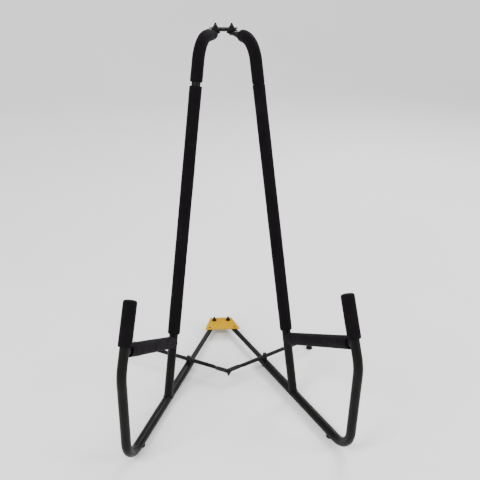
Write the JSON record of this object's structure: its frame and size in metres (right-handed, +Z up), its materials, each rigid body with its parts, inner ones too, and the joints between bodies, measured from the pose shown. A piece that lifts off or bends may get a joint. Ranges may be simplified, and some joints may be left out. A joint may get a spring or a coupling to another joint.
{
  "type": "string instrument stand",
  "caption": "Folding floor stand for a guitar or larger string instrument: foam-covered tube frames on upright hinges with coupled outrigger feet.",
  "frame": {"origin": "on the floor, under the middle of the stand's overall box", "axes": "+Z up, +Y towards the hinge plate at the rear, +X to the right as seen from the front"},
  "size_m": [0.606, 0.7189, 1.022],
  "materials": {
    "black_powder_coat": "glossy black powder coat",
    "black_satin_steel": "satin black paint",
    "black_foam": "closed-cell foam, matte",
    "yellow_plate": "golden yellow paint",
    "rivet_metal": "dull reddish brown",
    "black_plastic": "moulded, matte",
    "black_zinc": "black zinc",
    "black_rubber": "moulded rubber",
    "nylon": "moulded nylon"
  },
  "bodies": {
    "root": {"base_hinge_bolts": "black_zinc", "base_hinge_nuts": "black_plastic", "base_hinge_washers": "black_zinc", "hinge_plate": "yellow_plate", "plate_rivets": "rivet_metal", "rub_strip": "nylon", "top_channel": "black_satin_steel", "top_hinge_bolts": "black_zinc", "top_hinge_nuts": "black_plastic", "top_hinge_washers": "black_zinc"},
    "left_frame": {"left_arm_foam": "black_foam", "left_arm_tube": "black_powder_coat", "left_base_tube": "black_powder_coat", "left_front_foot": "black_rubber", "left_hinge_rod": "black_satin_steel", "left_pivot_bolt": "black_zinc", "left_pivot_nut": "black_zinc", "left_pivot_spacer": "nylon", "left_post_foam": "black_foam", "left_post_plug": "black_plastic", "left_rail_foam_lower": "black_foam", "left_rail_foam_upper": "black_foam", "left_rail_tube": "black_powder_coat", "left_rod_bushing": "nylon"},
    "right_frame": {"right_arm_foam": "black_foam", "right_arm_tube": "black_powder_coat", "right_base_tube": "black_powder_coat", "right_front_foot": "black_rubber", "right_hinge_rod": "black_satin_steel", "right_pivot_bolt": "black_zinc", "right_pivot_nut": "black_zinc", "right_pivot_spacer": "nylon", "right_post_foam": "black_foam", "right_post_plug": "black_plastic", "right_rail_foam_lower": "black_foam", "right_rail_foam_upper": "black_foam", "right_rail_tube": "black_powder_coat", "right_rod_bushing": "nylon"},
    "left_outrigger": {"knuckle_bolt_end": "black_zinc", "knuckle_nut": "black_plastic", "left_outrigger_bar": "black_satin_steel", "left_outrigger_foot": "black_rubber", "left_outrigger_plug": "black_plastic", "left_outrigger_stem": "black_zinc"},
    "right_outrigger": {"knuckle_bolt": "black_zinc", "right_outrigger_bar": "black_satin_steel", "right_outrigger_foot": "black_rubber", "right_outrigger_plug": "black_plastic", "right_outrigger_stem": "black_zinc"}
  },
  "joints": [
    {"name": "left_frame_swing", "type": "hinge", "parent": "root", "child": "left_frame", "pos_m": [-0.0237, 0.34053, 0.5], "axis": [0, 0, 1], "range_deg": [0, 21.2]},
    {"name": "right_frame_swing", "type": "hinge", "parent": "root", "child": "right_frame", "pos_m": [0.0237, 0.34053, 0.5], "axis": [0, 0, 1], "range_deg": [-21.2, 0]},
    {"name": "left_outrigger_swing", "type": "hinge", "parent": "left_frame", "child": "left_outrigger", "pos_m": [-0.11953, 0.09346, 0.0399], "axis": [0, 0, 1], "range_deg": [-70.08, 0]},
    {"name": "right_outrigger_swing", "type": "hinge", "parent": "right_frame", "child": "right_outrigger", "pos_m": [0.11953, 0.09346, 0.0399], "axis": [0, 0, 1], "range_deg": [0, 70.08]}
  ],
  "couplings": [
    {"joint": "right_frame_swing", "follows": "left_frame_swing", "ratio": -1},
    {"joint": "left_outrigger_swing", "follows": "left_frame_swing", "ratio": -3.3057},
    {"joint": "right_outrigger_swing", "follows": "left_frame_swing", "ratio": 3.3057}
  ]
}
